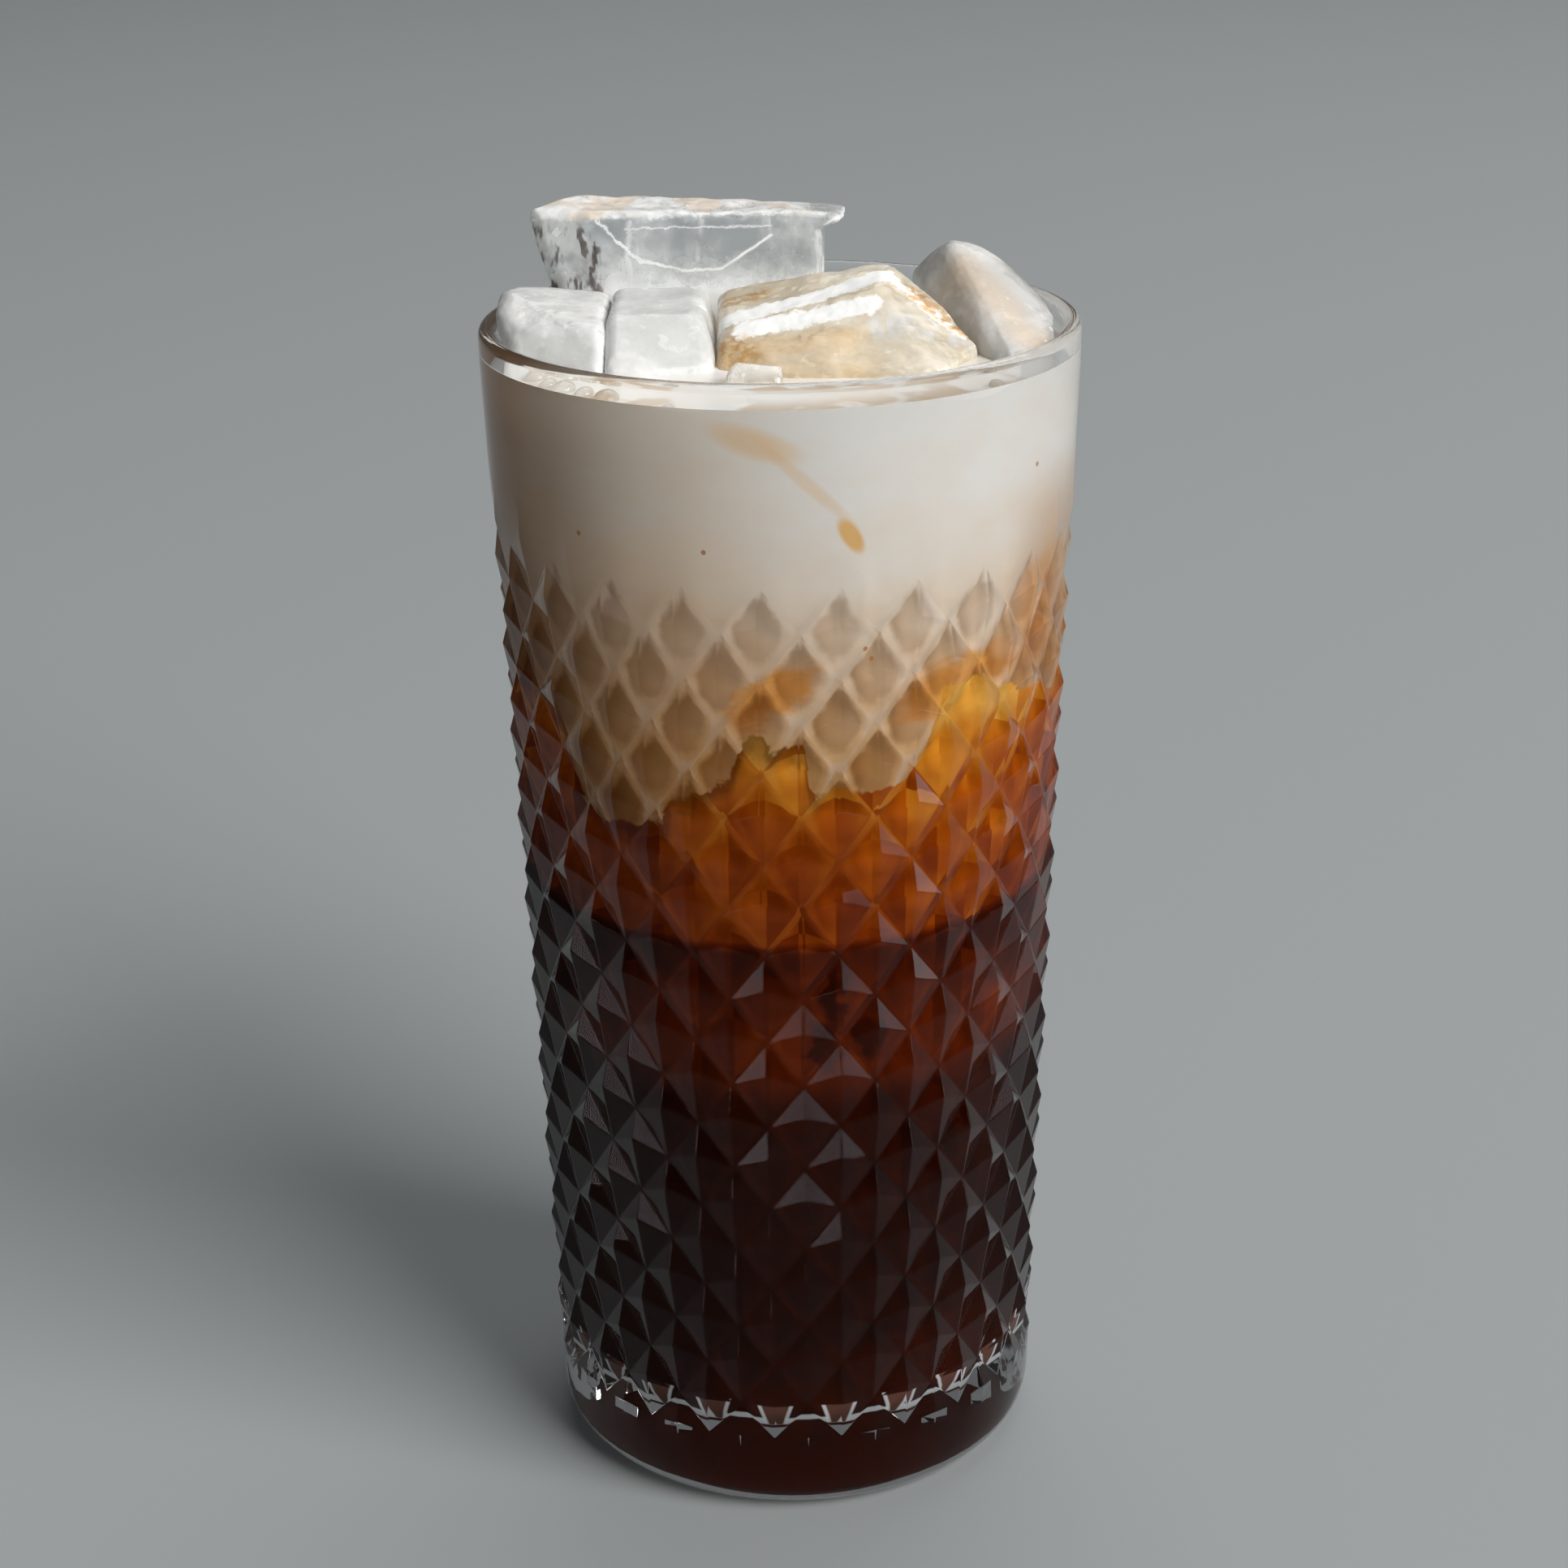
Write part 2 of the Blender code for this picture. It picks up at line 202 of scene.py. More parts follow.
DRIPS = (
    ((-5.0, 143.0 * MM), (6, 2.1 * MM), -0.8, 0.97, 0.5),
    ((5.0, 138.0 * MM), (1.8, 4.6 * MM), -4.4, 0.95, 0.32),
    ((12.9, 131.9 * MM), (2.0, 2.0 * MM), -0.8, 0.6, 0.9),
)
DRIP_COLOUR = (0.78, 0.46, 0.14, 1)
# Dark pieces that are sunk in the tea: angle and height, half sizes
SUNK_SHAPES = (
    ((7.6, 66.6 * MM), (3.4, 3.2 * MM)),
    ((17.6, 67.4 * MM), (2.8, 2.8 * MM)),
    ((10.2, 72.4 * MM), (2.2, 4.2 * MM)),
)
# Brown specks in the cream at the wall: angle and height, and the half sizes of one
SPECKS = ((-15.2, 130.1 * MM), (-43, 130.4 * MM), (16, 118 * MM), (18, 116.4 * MM), (58, 136 * MM))
SPECK_SIZE = (0.5, 0.3 * MM)
# How far the painted dark fields of shade show above the points of the relief that throw them
SEEN_RISE = 0.8 * MM
# The painted highlight of a bright ring round the foot, and its painted dark cups: their half width in
# diamonds, and its growth per metre
RING_BOTTOM = 12.2 * MM
RING_WIDTH = 1.2 * MM
CUP_HEIGHT = 3.2 * MM
CUP_FOOT = 0.08
CUP_FLARE = 42.0
RING_HIGHLIGHT_COLOUR = (0.82, 0.84, 0.86, 1)
CUP_COLOUR = (0.12, 0.05, 0.035, 1)

# Ice, in millimetres: (x, height) on the slab, (x, y) on the others
SLAB_CRACK = (
    (-22.6, 159.5), (-20.2, 156.9), (-17.2, 154.4), (-11.2, 153.0), (-7.1, 153.2), (-0.9, 157.1),
)
SLAB_LINE = ((-19.1, 158.4), (-0.9, 158.2))
SLAB_FLAWS = ((-18.5, 159), (-18.9, 155), (-18.3, 151))
BLOCK_FROST_BACK = ((-6.0, -1.0), (13.0, 4.5))
BLOCK_FROST_FRONT = ((-3.8, -4.1), (10.6, -2.0))
BLOCK_RIDGE = ((13.6, 4.7), (18.1, -0.3), (21.9, -2.9))
BLOCK_PALE = ((12.5, -6.0), (20.5, -4.5))
BLOCK_SPECKLES = (((-5.8, 5.0), (-2.5, 5.8)), ((16.7, 2.6), (21.6, -1.2)), ((-6.5, -6.5), (-4.0, -8.5)))
PEAK_BLUSHES = (((22.1, 8.5), (27.5, 0.6)), ((29.2, -3.4), (31.6, -4.8)))
# Frost, and the painted sheen on the ice's edges
FROST_AND_SHEEN_COLOUR = (0.87, 0.875, 0.865, 1)
STAIN_COLOUR = (0.80, 0.58, 0.36, 1)
PAINTED_REFRACTION_DARK = (0.16, 0.13, 0.12, 1)
AMBER_COLOUR = (0.83, 0.6, 0.33, 1)
GLASSY_COLOUR = (0.92, 0.92, 0.91, 1)
SPECKLE_COLOUR = (0.66, 0.36, 0.11, 1)
BLUSH_COLOUR = (0.78, 0.6, 0.42, 1)
# Each finish of ice: how much light goes through, its own colour, the colour of its clouds
ICE_FINISHES = {
    "slab_ice": (0.97, (0.96, 0.98, 0.99, 1), (0.9, 0.92, 0.92, 1)),
    "block_ice": (0.6, (0.9, 0.8, 0.63, 1), (0.9, 0.84, 0.72, 1)),
    "peak_ice": (0.34, (0.66, 0.65, 0.63, 1), (0.76, 0.75, 0.73, 1)),
    "milky_ice": (0.32, (0.73, 0.74, 0.73, 1), (0.85, 0.85, 0.84, 1)),
    "clear_ice": (0.9, (0.96, 0.92, 0.85, 1), (0.9, 0.92, 0.92, 1)),
}
# Each piece of ice: node, name, finish, then grain, dents, pits, and swelling as a share of the dents
ICE_PIECES = (
    ("ice_back_slab", "slab", "slab_ice", (0.32 * MM, 0.9 * MM, 0.35 * MM, 0.0)),
    ("ice_left_lump", "left_lump", "milky_ice", (0.26 * MM, 0.6 * MM, 0.2 * MM, 0.7)),
    ("ice_left_cube", "left_cube", "milky_ice", (0.26 * MM, 0.5 * MM, 0.15 * MM, 0.8)),
    ("ice_middle", "middle_block", "block_ice", (0.28 * MM, 0.7 * MM, 0.4 * MM, 0.0)),
    ("ice_right_peak", "right_peak", "peak_ice", (0.28 * MM, 0.45 * MM, 0.2 * MM, 0.0)),
    ("ice_chip", "chip", "clear_ice", (0.18 * MM, 0.5 * MM, 0.3 * MM, 0.0)),
)
DENT_SIZE = 9 * MM
PIT_SIZE = 2.6 * MM
LIP_CORNER = (3.9 * MM, 159.0 * MM)
LIP_PULL = (2.8 * MM, 0, -0.3 * MM)
LIP_REACH = 1.8 * MM

# Bubbles of foam on the cream: x and y in millimetres, size
BUBBLE_RADIUS = 1.25 * MM
BUBBLE_SUNK = 0.35
BUBBLE_FLATNESS = 0.72
BUBBLES = (
    (-28.4, -13.2, 1.0), (-26.6, -16.3, 0.8), (-24.7, -18.6, 1.1), (-22.2, -20.6, 0.85),
    (-19.6, -23.2, 1.2), (-12.5, -28.3, 0.7), (24.5, -19.5, 0.75),
)


def deselect():
    """Leave edit mode with nothing selected."""
    if bpy.context.object and bpy.context.object.mode != "OBJECT":
        bpy.ops.object.mode_set(mode="OBJECT")
    bpy.ops.object.select_all(action="DESELECT")


def pick(thing):
    """Make one object the selected and active one."""
    deselect()
    thing.select_set(True)
    bpy.context.view_layer.objects.active = thing


def select_points(thing, wanted):
    """In edit mode, select the points whose place passes the test."""
    bpy.ops.mesh.select_mode(type="VERT")
    bpy.ops.mesh.select_all(action="DESELECT")
    shape = bmesh.from_edit_mesh(thing.data)
    for point in shape.verts:
        point.select = wanted(point.co)
    shape.select_flush_mode()
    bmesh.update_edit_mesh(thing.data)


def select_edges(thing, wanted):
    """In edit mode, select the edges whose two ends pass the test."""
    bpy.ops.mesh.select_mode(type="EDGE")
    bpy.ops.mesh.select_all(action="DESELECT")
    shape = bmesh.from_edit_mesh(thing.data)
    for edge in shape.edges:
        edge.select = wanted(edge.verts[0].co, edge.verts[1].co)
    bmesh.update_edit_mesh(thing.data)


def apply_modifier(thing, kind, **settings):
    """Add a modifier with these settings and apply it."""
    pick(thing)
    bpy.ops.object.modifier_add(type=kind)
    modifier = thing.modifiers[-1]
    for setting, value in settings.items():
        setattr(modifier, setting, value)
    bpy.ops.object.modifier_apply(modifier=modifier.name)


def turned(name, profile, sides=SIDES):
    """Turn a profile of (radius, height) points: a circle extruded and scaled from point to point."""
    deselect()
    radius, height = profile[0]
    bpy.ops.mesh.primitive_circle_add(vertices=sides, radius=radius, location=(0, 0, height),
                                      rotation=(0, 0, FRONT_TURN))
    thing = bpy.context.object
    thing.name = name
    bpy.ops.object.transform_apply(location=True, rotation=True, scale=True)
    bpy.ops.object.mode_set(mode="EDIT")
    bpy.ops.mesh.select_all(action="SELECT")
    for next_radius, next_height in profile[1:]:
        bpy.ops.mesh.extrude_region_move(TRANSFORM_OT_translate={"value": (0, 0, next_height - height)})
        ratio = next_radius / radius
        bpy.ops.transform.resize(value=(ratio, ratio, 1), center_override=(0, 0, next_height))
        radius, height = next_radius, next_height
    for end_radius, end_height in (profile[0], profile[-1]):
        select_points(thing, lambda co: (co.xy.length < end_radius * 1.01
                                         and abs(co.z - end_height) < 0.01 * MM))
        bpy.ops.mesh.merge(type="CENTER")
    bpy.ops.mesh.select_all(action="SELECT")
    bpy.ops.mesh.normals_make_consistent(inside=False)
    bpy.ops.object.mode_set(mode="OBJECT")
    return thing


def arc(centre, radius, start, end, count):
    """Points of an arc in the profile plane, angles in degrees from +X."""
    angles = [math.radians(start + (end - start) * index / count) for index in range(count + 1)]
    return [(centre[0] + radius * math.cos(a), centre[1] + radius * math.sin(a)) for a in angles]


def envelope(height):
    """Outer radius of the glass: a straight taper from rim to foot."""
    return FOOT_RADIUS + (RIM_RADIUS - FOOT_RADIUS) * height / RIM_HEIGHT


def inner_radius(height):
    """Inner radius of the smooth wall, thickest where the outside is cut."""
    if height >= BAND_START:
        share = (height - BAND_START) / (RIM_HEIGHT - BAND_START)
        return envelope(height) - BAND_WALL + (BAND_WALL - RIM_WALL) * share
    share = min(1.0, (BAND_START - height) / (BAND_START - TIP_HEIGHT + ROW_PITCH))
    return envelope(height) - BAND_WALL - (CUT_WALL - BAND_WALL) * share


def row_height(row):
    """Height of a row of the lattice, counted down from the highest tips."""
    return TIP_HEIGHT - row * ROW_PITCH


def column_of(point):
    """Number of the lattice's upright line that a point lies on."""
    return round((math.atan2(point.x, -point.y) - FRONT_TURN) / STEP_ANGLE)


class Nodes:
    """Shader nodes of one material, added and joined by short calls."""

    def __init__(self, name):
        self.material = bpy.data.materials.new(name)
        self.material.use_nodes = True
        self.tree = self.material.node_tree
        self.shader = self.tree.nodes["Principled BSDF"]

    def join(self, value, socket):
        """Link a node's output to the socket, or set a plain value."""
        if isinstance(value, bpy.types.NodeSocket):
            self.tree.links.new(value, socket)
        else:
            socket.default_value = value

    def add(self, kind, inputs=(), **settings):
        """A new node with these settings, its inputs linked or set."""
        node = self.tree.nodes.new("ShaderNode" + kind)
        for setting, value in settings.items():
            setattr(node, setting, value)
        for key, value in dict(inputs).items():
            self.join(value, node.inputs[key])
        return node

    def sum(self, operation, *values):
        """What a Math node works out from these values."""
        node = self.add("Math", enumerate(values), operation=operation)
        return node.outputs[0]

    def ramp(self, value, *stops, smooth=True):
        """A colour ramp from (place, colour) stops."""
        node = self.add("ValToRGB", {0: value})
        node.color_ramp.interpolation = "EASE" if smooth else "LINEAR"
        elements = node.color_ramp.elements
        while len(elements) < len(stops):
            elements.new(0.5)
        for element, (place, colour) in zip(elements, stops):
            element.position = place
            element.color = (*colour, 1) if len(colour) == 3 else colour
        return node.outputs[0]

    def band(self, value, low, high):
        """0 under low, 1 over high, smooth between."""
        node = self.add("MapRange", {0: value, 1: low, 2: high}, interpolation_type="SMOOTHSTEP")
        return node.outputs[0]

    def mix(self, factor, first, second, blend="MIX"):
        """The first colour at factor 0, blended with the second up to factor 1."""
        node = self.add("Mix", {0: factor, 6: first, 7: second}, data_type="RGBA", blend_type=blend)
        return node.outputs[2]

    def noise(self, where, scale, detail=3.0, roughness=0.55):
        """Soft clouds, mostly between 0.3 and 0.7."""
        node = self.add("TexNoise", {"Vector": where, "Scale": scale, "Detail": detail,
                                     "Roughness": roughness})
        return node.outputs[0]

    def place(self, stretch=(1, 1, 1)):
        """Object coordinates in metres, stretched."""
        coordinates = self.add("TexCoord").outputs["Object"]
        return self.add("Mapping", {"Vector": coordinates, "Scale": stretch}).outputs[0]

    def set(self, **values):
        """Link or set the shader's own sockets."""
        for key, value in values.items():
            self.join(value, self.shader.inputs[key.replace("_", " ")])

    def curve(self, value, points):
        """A smooth curve through (place, value) points, both from 0 to 1."""
        node = self.add("FloatCurve", {1: value})
        line = node.mapping.curves[0]
        for place, level in points[1:-1]:
            line.points.new(place, level)
        line.points[0].location = points[0]
        line.points[-1].location = points[-1]
        node.mapping.update()
        return node.outputs[0]

    def spot(self, across, up, centre, half_size, slant=0.0, soft=0.5):
        """1 in an oval round the centre, 0 outside it."""
        rise = self.sum("DIVIDE", self.sum("SUBTRACT", up, centre[1]), half_size[1])
        run = self.sum("DIVIDE", self.sum("SUBTRACT", across, centre[0]), half_size[0])
        run = self.sum("SUBTRACT", run, self.sum("MULTIPLY", rise, slant))
        square = self.sum("ADD", self.sum("MULTIPLY", run, run), self.sum("MULTIPLY", rise, rise))
        return self.band(square, 1.0 + soft, 1.0 - soft)

    def bump(self, height, distance, strength=1.0):
        """Unevenness of the finish that is too fine for the mesh."""
        node = self.add("Bump", {"Height": height, "Distance": distance, "Strength": strength})
        self.join(node.outputs[0], self.shader.inputs["Normal"])


def dress(thing, material, slot, *nodes):
    """Give a finished piece its material and its body, and hide the nodes that it stands for."""
    thing.data.materials.clear()
    thing.data.materials.append(material)
    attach(thing, "root")
    if nodes:
        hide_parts(*nodes)


def on_relief(point):
    """Row number of a point of the outer lattice, or None."""
    row = (TIP_HEIGHT - point.z) / ROW_PITCH
    whole = round(row)
    if abs(row - whole) > 0.01 or not 0 <= whole <= LAST_ROW:
        return None
    if abs(point.xy.length - envelope(point.z)) > 0.1 * MM:
        return None
    return whole


def is_peak(point, row):
    """Whether a point of a lattice row is the tip of a diamond, and not the notch between two."""
    return (column_of(point) + row) % 2 == 0


def floor_fillet_centre():
    """Centre of the arc between the inside floor and the inner wall."""
    height = FLOOR_HEIGHT + FLOOR_FILLET
    return (inner_radius(height) - FLOOR_FILLET, height)


def tumbler_profile():
    """The glass's outline from the middle of its floor, over the rim and back under its foot."""
    centre = floor_fillet_centre()
    inside = [(CORE_RADIUS, FLOOR_HEIGHT), (centre[0] * FLAT_SHARE, FLOOR_HEIGHT)]
    inside += arc(centre, FLOOR_FILLET, -90, 0, 4)
    wall_heights = INSIDE_STEPS + (TIP_HEIGHT - ROW_PITCH, BAND_START, BAND_MIDDLE)
    inside += [(inner_radius(height), height) for height in wall_heights]
    rim = arc((RIM_RADIUS - RIM_WALL / 2, RIM_HEIGHT - RIM_WALL / 2), RIM_WALL / 2, 180, 0, 6)
    outside_heights = [BAND_MIDDLE, BAND_START]
    outside_heights += [row_height(row) for row in range(LAST_ROW + 1)]
    outside_heights.append(BASE_BAND_TOP)
    outside = [(envelope(height), height) for height in outside_heights]
    heel_centre = (envelope(HEEL_RADIUS) - HEEL_RADIUS, HEEL_RADIUS)
    heel = arc(heel_centre, HEEL_RADIUS, 0, -90, 5)
    hollow = [(heel_centre[0] - STANDING_WIDTH, 0), (heel_centre[0] - HOLLOW_EDGE, UNDER_HOLLOW * 0.7),
              (heel_centre[0] * FLAT_SHARE, UNDER_HOLLOW), (CORE_RADIUS, UNDER_HOLLOW)]
    return inside + rim + outside + heel + hollow


def cut_relief(thing):
    """In edit mode, move the lattice's tips and notches to their cut places, and return the notches'."""
    corner_places = []
    for row in range(LAST_ROW + 1):
        at_edge = row in (0, LAST_ROW)
        for peak in (True, False):
            select_points(thing, lambda co: on_relief(co) == row and is_peak(co, row) == peak)
            height = row_height(row)
            rise = POINT_LIFT if peak else NOTCH_RAISE * (row == LAST_ROW)
            depth = 0 if peak else CUT_DEPTH * (EDGE_SHARE if at_edge else 1)
            ratio = (envelope(height + rise) - depth) / envelope(height)
            bpy.ops.transform.resize(value=(ratio, ratio, 1), center_override=(0, 0, height))
            bpy.ops.transform.translate(value=(0, 0, rise))
            if not peak:
                corner_places.append((height + rise, envelope(height + rise) - depth))
    return corner_places


def make_tumbler(material):
    """The glass: turned, cut in its lattice, with sharp ridges that are a little worn."""
    thing = turned("tumbler", tumbler_profile())
    bpy.ops.object.mode_set(mode="EDIT")
    corner_places = cut_relief(thing)
    near = 0.02 * MM
    select_points(thing, lambda co: any(abs(co.z - z) < near and abs(co.xy.length - r) < near
                                        for z, r in corner_places))
    bpy.ops.mesh.vert_connect()
    low, high = row_height(LAST_ROW) - near, BAND_START + near

    def is_cut(co):
        return low < co.z < high and co.xy.length > inner_radius(co.z) + OUTSIDE_FROM_INSIDE

    select_edges(thing, lambda a, b: is_cut(a) and is_cut(b) and min(a.z, b.z) < BAND_START - 1 * MM)
    bpy.ops.transform.edge_crease(value=1)
    bpy.ops.object.mode_set(mode="OBJECT")
    apply_modifier(thing, "SUBSURF", levels=1, render_levels=1)
    bpy.ops.object.shade_smooth()
    apply_modifier(thing, "BEVEL", width=EDGE_WEAR, segments=2, limit_method="ANGLE",
                   angle_limit=math.radians(WEAR_ANGLE), harden_normals=True)
    dress(thing, material, "glass", "glass")


def glass_material():
    """Clear pressed glass with faint waves, mirroring less than polished glass does."""
    look = Nodes("pressed_glass")
    waves = look.noise(look.place((1, 1, 0.4)), 90.0, 2.0)
    look.set(Base_Color=GLASS_COLOUR, Roughness=0.0, IOR=1.46, Transmission_Weight=1.0,
             Specular_Tint=GLASS_MIRROR_TINT)
    look.bump(waves, 0.02 * MM, 0.3)
    return look.material


def lattice(look, angle, height):
    """Where a point lies in its diamond: across and down from the middle, -1 to 1, and which diamond."""
    column = look.sum("DIVIDE", look.sum("SUBTRACT", angle, FRONT_TURN), STEP_ANGLE)
    row = look.sum("DIVIDE", look.sum("SUBTRACT", TIP_HEIGHT, height), ROW_PITCH)
    halves = [look.sum("MULTIPLY", look.sum(kind, column, row), 0.5) for kind in ("ADD", "SUBTRACT")]
    wholes = [look.sum("ROUND", half) for half in halves]
    first, second = [look.sum("SUBTRACT", half, whole) for half, whole in zip(halves, wholes)]
    return look.sum("ADD", first, second), look.sum("SUBTRACT", first, second), wholes


def wall_place(look):
    """Where a point of the drink lies: angle, height and its place in the lattice in front of it."""
    here = SimpleNamespace(point=look.place())
    x, y, here.height = look.add("SeparateXYZ", {0: here.point}).outputs
    here.angle = look.sum("ARCTAN2", x, look.sum("MULTIPLY", y, -1.0))
    here.turn = look.sum("ADD", look.sum("DIVIDE", here.angle, math.tau), 0.5)
    here.degrees = look.sum("MULTIPLY", here.angle, math.degrees(1))
    here.share = look.sum("DIVIDE", here.height, RIM_HEIGHT)
    seen = look.sum("SUBTRACT", here.height, SEEN_RISE)
    here.across, here.down, here.cell = lattice(look, here.angle, seen)
    here.in_relief = look.sum("GREATER_THAN", look.sum("SUBTRACT", *here.cell), 0.5)
    here.fine = look.sum("SUBTRACT", look.noise(here.point, 420.0, 3.0), 0.5)
    here.streaks = look.sum("SUBTRACT", look.noise(look.place((1, 1, 2.2)), 75.0, 4.0, 0.6), 0.5)
    curls = look.sum("SUBTRACT", look.noise(look.place((1, 1, 1.6)), 210.0, 5.0, 0.65), 0.5)
    here.torn_degrees = look.sum("ADD", here.degrees, look.sum("MULTIPLY", curls, 14))
    here.torn_height = look.sum("ADD", here.height, look.sum("MULTIPLY", here.streaks, 9 * MM))
    return here


def facet_tone(look, here):
    """A tone for each facet of each point, about -0.5 to 0.5, with slow clouds that jump at its sides."""
    right = look.sum("GREATER_THAN", here.across, 0.0)
    ridge = look.sum("SUBTRACT", 1.0, look.sum("ABSOLUTE", here.across))
    ridge = look.sum("ADD", here.down, look.sum("MULTIPLY", ridge, POINT_LIFT / ROW_PITCH))
    lower = look.sum("GREATER_THAN", ridge, 0.0)
    side = look.sum("ADD", right, look.sum("MULTIPLY", lower, 2.0))
    facet = look.add("CombineXYZ", {0: here.cell[0], 1: here.cell[1], 2: side}).outputs[0]
    own = look.add("TexWhiteNoise", {"Vector": facet}, noise_dimensions="3D").outputs[0]
    sideways = look.sum("MULTIPLY", look.sum("SUBTRACT", right, 0.5), 5 * MM)
    shift = look.add("CombineXYZ", {0: look.sum("MULTIPLY", sideways, look.sum("COSINE", here.angle)),
                                    1: look.sum("MULTIPLY", sideways, look.sum("SINE", here.angle)),
                                    2: look.sum("MULTIPLY", look.sum("SUBTRACT", 0.5, lower), 6 * MM)})
    bent = look.add("VectorMath", {0: here.point, 1: shift.outputs[0]}, operation="ADD").outputs[0]
    clouds = look.noise(bent, 105.0, 2.5, 0.5)
    return look.sum("SUBTRACT", look.sum("ADD", look.sum("MULTIPLY", own, 0.3), clouds), 0.65)


def relief_shade_and_gleam(look, here):
    """Painted shade and light of the relief on the drink: the shield-shaped dark field that each tip throws
    on it, darkest at its upper left, and a painted gleam between the fields.
    """
    lean = look.sum("MULTIPLY", look.sum("MINIMUM", here.down, 0.0), 0.2)
    wide = look.sum("ABSOLUTE", look.sum("ADD", look.sum("ADD", here.across, lean), 0.03))
    roundness = look.sum("ADD", 1.0, look.sum("MULTIPLY", look.band(here.down, -0.35, 0.2), 0.7))
    tall = look.sum("ADD", look.sum("DIVIDE", look.sum("MAXIMUM", here.down, 0.0), 0.7),
                    look.sum("DIVIDE", look.sum("MINIMUM", here.down, 0.0), -0.88))
    reach = look.sum("ADD", look.sum("POWER", look.sum("DIVIDE", wide, 0.6), roundness),
                     look.sum("POWER", tall, roundness))
    reach = look.sum("ADD", reach, look.sum("MULTIPLY", here.fine, 0.9))
    reach = look.sum("ADD", reach, look.sum("MULTIPLY", here.streaks, 0.5))
    slope = look.sum("ADD", look.sum("MULTIPLY", here.across, 0.8), look.sum("MULTIPLY", here.down, 0.6))
    shade = look.sum("SUBTRACT", 1.0, look.sum("MULTIPLY", look.band(slope, -0.45, 0.5), 0.45))
    field = look.sum("MULTIPLY", look.band(reach, 1.2, 0.6), shade)
    gleam = look.band(reach, 1.1, 1.7)
    return look.sum("MULTIPLY", field, here.in_relief), look.sum("MULTIPLY", gleam, here.in_relief)


def painted_foot_ring(look, here, tea):
    """A painted highlight: the bright ring round the drink's foot, with the dark cup that each notch bends
    into it and a painted bright line round each cup.
    """
    turns = look.sum("DIVIDE", look.sum("SUBTRACT", here.angle, FRONT_TURN + STEP_ANGLE), 2 * STEP_ANGLE)
    beside = look.sum("ABSOLUTE", look.sum("SUBTRACT", turns, look.sum("ROUND", turns)))
    rise = look.sum("SUBTRACT", here.height, RING_BOTTOM)
    off = look.sum("SUBTRACT", beside, look.sum("ADD", look.sum("MULTIPLY", rise, CUP_FLARE), CUP_FOOT))
    in_cup = look.sum("MULTIPLY", look.band(rise, -0.1 * MM, 0.2 * MM),
                      look.band(rise, CUP_HEIGHT + 0.2 * MM, CUP_HEIGHT))
    ring = look.sum("MULTIPLY", look.band(rise, -0.2 * MM, 0.2 * MM),
                    look.band(rise, RING_WIDTH + 0.2 * MM, RING_WIDTH - 0.2 * MM))
    tea = look.mix(look.sum("MULTIPLY", ring, 0.9), tea, RING_HIGHLIGHT_COLOUR)
    tea = look.mix(look.sum("MULTIPLY", in_cup, look.band(off, 0.015, -0.015)), tea, CUP_COLOUR)
    line = look.sum("MULTIPLY", in_cup, look.band(look.sum("ABSOLUTE", off), 0.05, 0.015))
    return look.mix(look.sum("MULTIPLY", line, 0.75), tea, RING_HIGHLIGHT_COLOUR)


def tea_colour(look, here, field, edge):
    """Amber under the cream, red-brown below a first step, nearly black below a second; with painted light
    and shade at the sides, the painted shade of the relief's fields, a painted shadow under the cream's
    edge and the painted bright ring at the foot.
    """
    # Painted light and shade: paler where light comes through from the right, darker at the left
    sides = look.curve(here.turn, [((a + 180) / 360, v + 0.5) for a, v in TEA_SIDE_SHADING])
    depth = look.curve(here.share, [(h * MM / RIM_HEIGHT, v) for h, v in TEA_DEPTH])
    depth = look.sum("ADD", depth, look.sum("SUBTRACT", sides, 0.5))
    lively = look.sum("ADD", look.sum("MULTIPLY", look.band(here.height, 50 * MM, 95 * MM), 0.38), 0.14)
    depth = look.sum("ADD", depth, look.sum("MULTIPLY", facet_tone(look, here), lively))
    depth = look.sum("ADD", depth, look.sum("MULTIPLY", here.streaks, 0.16))
    # The painted shade of the relief's fields darkens the tea a little
    depth = look.sum("ADD", depth, look.sum("MULTIPLY", field, 0.07))
    for centre, half_size in SUNK_SHAPES:
        sunk = look.spot(here.torn_degrees, here.height, centre, half_size, 0.0, 0.6)
        depth = look.sum("ADD", depth, look.sum("MULTIPLY", sunk, 0.15))
    tea = look.ramp(depth, *TEA_COLOURS, smooth=False)
    # Painted shadow on the tea just under the cream's edge, mostly on the left
    shaded_side = look.sum("MULTIPLY", look.band(here.degrees, 26, -6), 0.7)
    shade = look.sum("MULTIPLY", look.band(edge, -3.5 * MM, -0.3 * MM), shaded_side)
    tea = look.mix(shade, tea, TEA_SHADOW_UNDER_CREAM)
    under = look.band(here.height, RING_BOTTOM, RING_BOTTOM - 0.4 * MM)
    tea = look.mix(under, tea, TEA_FOOT)
    return painted_foot_ring(look, here, tea)


def side_share(look, here, angles):
    """1 on a side of the glass, 0 away from it: angles where it starts, is full, is still full and ends."""
    start, full, still_full, end = angles
    return look.sum("MULTIPLY", look.band(here.degrees, start, full),
                    look.band(here.degrees, end, still_full))


